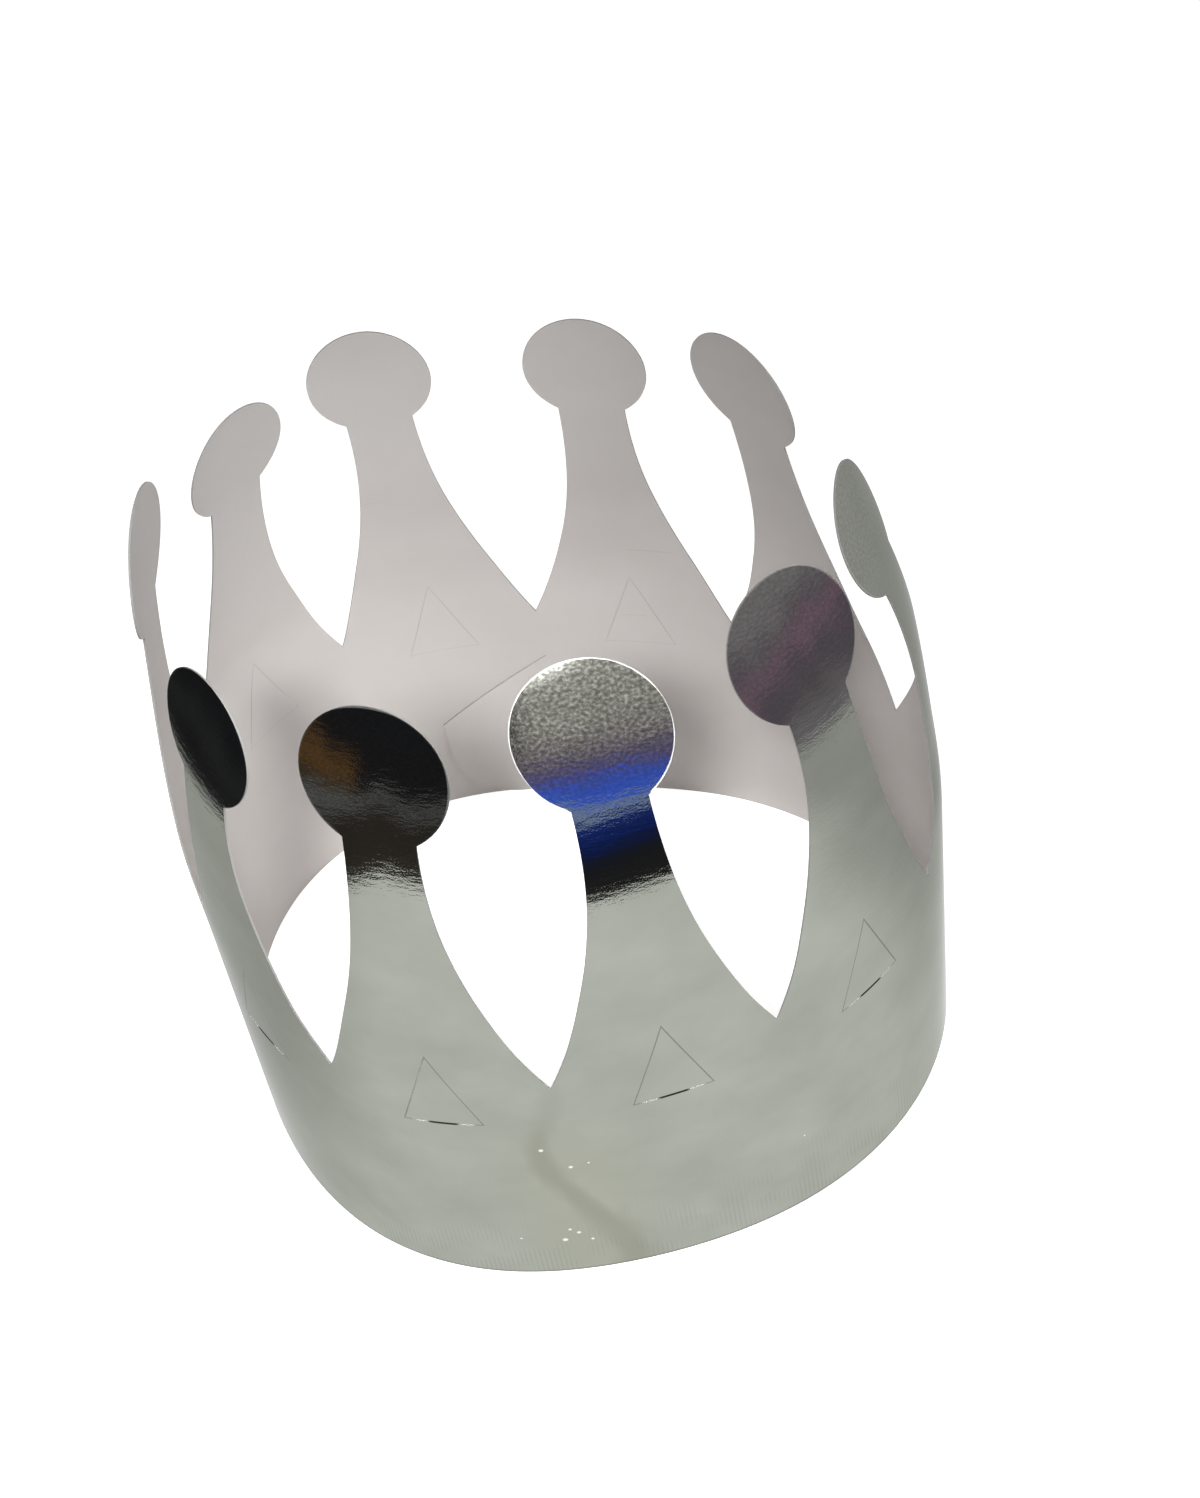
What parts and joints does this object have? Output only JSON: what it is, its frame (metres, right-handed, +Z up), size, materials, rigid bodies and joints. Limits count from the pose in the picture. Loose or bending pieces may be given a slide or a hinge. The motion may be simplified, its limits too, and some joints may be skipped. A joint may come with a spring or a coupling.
{
  "type": "paper crown",
  "caption": "Party crown cut from one strip of foil-faced card: plain band, flared points that end in round discs, push-out triangles, ends lapped at the back",
  "frame": {"origin": "centre of the head oval, on the plane of the rim that the crown stands on", "axes": "X along the oval's long way, to the right in the picture's view; Y along its short way, from the front to the back, where the ends lap a little off the middle; Z up to the discs"},
  "size_m": [0.194, 0.16, 0.19],
  "materials": {
    "foil_card": "silver mirror foil outside, plain grey-white card inside and at the cut edges"
  },
  "bodies": {
    "root": {"crown_band": "foil_card"}
  },
  "joints": []
}
